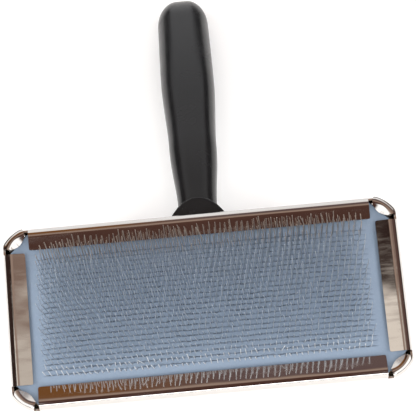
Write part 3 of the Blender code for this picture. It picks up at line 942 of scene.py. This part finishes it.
def rivet_section():
    """A domed head under the saddle, a shank through the holes and a clenched end inside the tray."""
    seat = -FIT_GAP - SADDLE_THICKNESS - FIT_GAP
    clench = SHEET + FIT_GAP + WASHER_THICKNESS + FIT_GAP
    dome = [math.radians(degrees) for degrees in range(6, 91, 7)]
    section = [(RIVET_HEAD_RADIUS * math.sin(a), seat - RIVET_HEAD_RISE * math.cos(a)) for a in dome]
    section += [(RIVET_HEAD_RADIUS, seat - 0.0001), (RIVET_HEAD_RADIUS - 0.0001, seat)]
    section += [(RIVET_SHANK_RADIUS, seat), (RIVET_SHANK_RADIUS, clench), (0.0023, clench)]
    section += [(0.0024, clench + 0.0002), (0.0022, clench + 0.0005), (0.0012, clench + 0.0006)]
    return section


def washer_section():
    """A flat ring with its outer corners eased."""
    bottom = SHEET + FIT_GAP
    top = bottom + WASHER_THICKNESS
    inner = RIVET_HOLE_RADIUS
    outer = [(0.0030, bottom), (0.0031, bottom + 0.0001), (0.0031, top - 0.0001), (0.0030, top)]
    return [(inner, bottom), *outer, (inner, top)]


def build_fasteners(finish):
    """The rivets and their washers, turned round their own axes."""
    sections = {"saddle_rivet": rivet_section(), "rivet_washer": washer_section()}
    for number, (x, y) in enumerate(RIVET_PLACES, start=1):
        for kind, section in sections.items():
            bm = bmesh.new()
            rings = [circle(x, y, z, radius) for radius, z in section]
            skin(bm, rings, ring_shaped=kind == "rivet_washer")
            bmesh.ops.recalc_face_normals(bm, faces=bm.faces)
            name = f"{kind}_{number}"
            add_piece(f"{name}_turned", finished_mesh(bm, name), finish, [name])


def carry_over(node, finish):
    """Keeps a node of the frame as it is, with its visible material."""
    kept = frame["nodes"][node]
    kept.data.materials.clear()
    kept.data.materials.append(finish)


# ---- the studio ----

CAMERA_DISTANCE = 0.450
FOCAL_PIXELS = 1550
CAMERA_PITCH = math.radians(-12.95)
CAMERA_YAW = math.radians(-0.26)
CAMERA_ROLL = math.radians(5.26)
CAMERA_SHIFT = (-0.00046, -0.02916)
SENSOR = 36.0
VIEW_WIDTH = 416
LIGHT_TARGET = (0.0, 0.0, 0.01)


def add_camera():
    """The camera looks down on the head from the side away from the handle, and is rolled a little."""
    seen = Matrix.Translation((*CAMERA_SHIFT, -CAMERA_DISTANCE))
    seen @= Matrix.Rotation(CAMERA_ROLL, 4, "Z")
    seen @= Matrix.Rotation(CAMERA_PITCH, 4, "X")
    seen @= Matrix.Rotation(CAMERA_YAW, 4, "Y")
    camera = bpy.data.objects.new("camera", bpy.data.cameras.new("camera"))
    bpy.context.scene.collection.objects.link(camera)
    camera.data.sensor_width = SENSOR
    camera.data.lens = FOCAL_PIXELS * SENSOR / VIEW_WIDTH
    camera.matrix_world = HEAD @ seen.inverted()
    bpy.context.scene.camera = camera


def add_floor():
    """Plain white paper under the brush, bright enough to hide all but the closest shadow."""
    half = 3.0
    mesh = bpy.data.meshes.new("floor")
    corners = [(-half, -half, 0), (half, -half, 0), (half, half, 0), (-half, half, 0)]
    mesh.from_pydata(corners, [], [(0, 1, 2, 3)])
    floor = bpy.data.objects.new("floor", mesh)
    bpy.context.scene.collection.objects.link(floor)
    floor.location.z = -0.0002
    paper = bpy.data.materials.new("white_paper")
    paper.use_nodes = True
    surface = paper.node_tree.nodes["Principled BSDF"].inputs
    surface["Base Color"].default_value = (0.93, 0.93, 0.92, 1.0)
    surface["Roughness"].default_value = 0.9
    surface["Emission Color"].default_value = (0.90, 0.95, 1.0, 1.0)
    surface["Emission Strength"].default_value = 0.18
    mesh.materials.append(paper)


def add_light(name, place, size, power):
    """A softbox aimed at the pad. Its place is in the head's frame."""
    data = bpy.data.lights.new(name, "AREA")
    data.shape = "RECTANGLE"
    data.size, data.size_y = size
    data.energy = power
    light = bpy.data.objects.new(name, data)
    bpy.context.scene.collection.objects.link(light)
    start = HEAD @ Vector(place)
    aim = (HEAD @ Vector(LIGHT_TARGET) - start).normalized()
    light.matrix_world = Matrix.Translation(start) @ aim.to_track_quat("-Z", "Y").to_matrix().to_4x4()
    return light


class Sky:
    """The world's colour being made, from how far a direction points along given axes."""

    def __init__(self, tree):
        self.tree = tree
        self.direction = tree.nodes.new("ShaderNodeTexCoord").outputs["Generated"]

    def node(self, kind, *inputs):
        made = self.tree.nodes.new(kind)
        for socket, value in zip(made.inputs, inputs):
            if isinstance(value, bpy.types.NodeSocket):
                self.tree.links.new(value, socket)
            else:
                socket.default_value = value
        return made

    def along(self, axis):
        """The cosine between the direction and an axis of the head's frame."""
        made = self.node("ShaderNodeVectorMath", self.direction, HEAD.to_3x3() @ Vector(axis))
        made.operation = "DOT_PRODUCT"
        return made.outputs["Value"]

    def level(self):
        """How far the direction points above the horizon."""
        return self.node("ShaderNodeSeparateXYZ", self.direction).outputs["Z"]

    def step(self, value, start, end):
        """Rises smoothly from nought at the start to one at the end."""
        made = self.node("ShaderNodeMapRange", value, start, end)
        made.interpolation_type = "SMOOTHSTEP"
        return made.outputs["Result"]

    def both(self, *shares):
        """The product of two or more shares."""
        result = shares[0]
        for share in shares[1:]:
            made = self.node("ShaderNodeMath", result, share)
            made.operation = "MULTIPLY"
            result = made.outputs["Value"]
        return result

    def size(self, value):
        made = self.node("ShaderNodeMath", value)
        made.operation = "ABSOLUTE"
        return made.outputs["Value"]

    def mix(self, share, first, second):
        """From the first colour to the second, as the share goes from nought to one."""
        made = self.node("ShaderNodeMix", share)
        made.data_type = "RGBA"
        for socket, value in ((made.inputs[6], first), (made.inputs[7], second)):
            if isinstance(value, tuple):
                socket.default_value = (*value, 1.0)
            else:
                self.tree.links.new(value, socket)
        return made.outputs[2]


def brown_opening(sky, across, up, out):
    """What the flanges reflect: a brown room round the camera, paler to the sides, with two windows."""
    aside = sky.size(across)
    under = sky.mix(sky.step(up, -0.25, 0.05), (0.095, 0.045, 0.035), (0.13, 0.062, 0.045))
    above = sky.mix(sky.step(across, -0.10, 0.00), (0.25, 0.105, 0.035), (0.17, 0.115, 0.110))
    brown = sky.mix(sky.step(up, 0.05, 0.55), under, above)
    beside = sky.mix(sky.step(across, 0.14, 0.20), (0.43, 0.31, 0.25), (0.30, 0.205, 0.165))
    beside = sky.mix(sky.step(aside, 0.50, 0.70), beside, (0.13, 0.075, 0.065))
    beside = sky.mix(sky.step(across, -0.13, -0.18), beside, (0.042, 0.024, 0.020))
    middle = sky.both(sky.step(up, 0.02, 0.12), sky.step(up, 0.46, 0.36))
    opening = sky.mix(middle, brown, beside)
    strip_rows = sky.both(sky.step(up, -0.08, 0.06), sky.step(up, 0.175, 0.145))
    strip_columns = sky.both(sky.step(aside, 0.15, 0.20), sky.step(aside, 0.45, 0.38))
    strip_colour = sky.mix(sky.step(across, -0.1, 0.1), (1.05, 0.95, 0.85), (0.75, 0.67, 0.59))
    opening = sky.mix(sky.both(strip_rows, strip_columns), opening, strip_colour)
    far = sky.both(sky.step(up, 0.45, 0.60), sky.step(out, 0.60, 0.50))
    opening = sky.mix(far, opening, (1.15, 1.12, 1.10))
    for side in (-1, 1):
        window = sky.along(Vector((0.54 * side, -0.35, 0.76)).normalized())
        opening = sky.mix(sky.step(window, 0.89, 0.95), opening, (1.7, 1.7, 1.7))
    return opening


def tent_sides(sky, across, up, out):
    """What the walls and the handle reflect: white, dark towards both ends, with a dark skirting."""
    dark = sky.mix(sky.step(sky.size(across), 0.55, 0.85), (0.16, 0.105, 0.085), (0.075, 0.050, 0.042))
    ends = sky.both(sky.step(up, 0.88, 0.76), sky.step(up, -0.50, -0.32), sky.step(out, -0.45, -0.25))
    sides = sky.mix(ends, (1.15, 1.15, 1.17), dark)
    skirting = sky.both(sky.step(sky.level(), 0.40, 0.24), sky.step(up, 0.45, 0.60))
    for edge in (sky.step(across, 0.08, 0.16), sky.step(across, -0.14, -0.22)):
        sides = sky.mix(sky.both(skirting, edge), sides, (0.01, 0.01, 0.01))
    return sides


def add_surroundings():
    """A white tent with a brown opening round the camera, as reflected in the polished head."""
    world = bpy.data.worlds.new("tent")
    bpy.context.scene.world = world
    world.use_nodes = True
    background = world.node_tree.nodes["Background"]
    sky = Sky(world.node_tree)
    across, up, out = sky.along((1, 0, 0)), sky.along((0, 1, 0)), sky.along((0, 0, 1))
    opening = brown_opening(sky, across, up, out)
    sides = tent_sides(sky, across, up, out)
    colour = sky.mix(sky.step(out, 0.30, 0.20), opening, sides)
    world.node_tree.links.new(colour, background.inputs["Color"])
    background.inputs["Strength"].default_value = 1.0


def add_lights():
    """Fill lights that the steel doesn't mirror, and one low strip that it does."""
    fills = (
        add_light("front_fill", (0.0, -0.10, 0.60), (0.30, 0.30), 1.95),
        add_light("side_box_left", (-0.45, 0.00, 0.20), (0.50, 0.50), 2.0),
        add_light("side_box_right", (0.45, 0.05, 0.25), (0.50, 0.50), 1.5),
    )
    for fill in fills:
        fill.visible_glossy = False
    add_light("low_box", (0.0, -0.36, 0.27), (0.50, 0.06), 0.5)


def build_studio():
    """Camera, floor, surroundings and lights."""
    add_camera()
    add_floor()
    add_surroundings()
    add_lights()
    bpy.context.scene.view_settings.view_transform = "Standard"


# ---- the brush ----


def build_brush():
    """Every piece of the brush, each with its own finish."""
    build_shell(polished_steel())
    build_rubber(blue_grey_rubber())
    build_foundation(woven_cotton())
    build_cushion(cushion_felt())
    build_wires(wire_steel())
    build_handle(black_plastic())
    build_fasteners(rivet_steel())
    carry_over("backing_board", pressed_fibreboard())


build_brush()
build_studio()
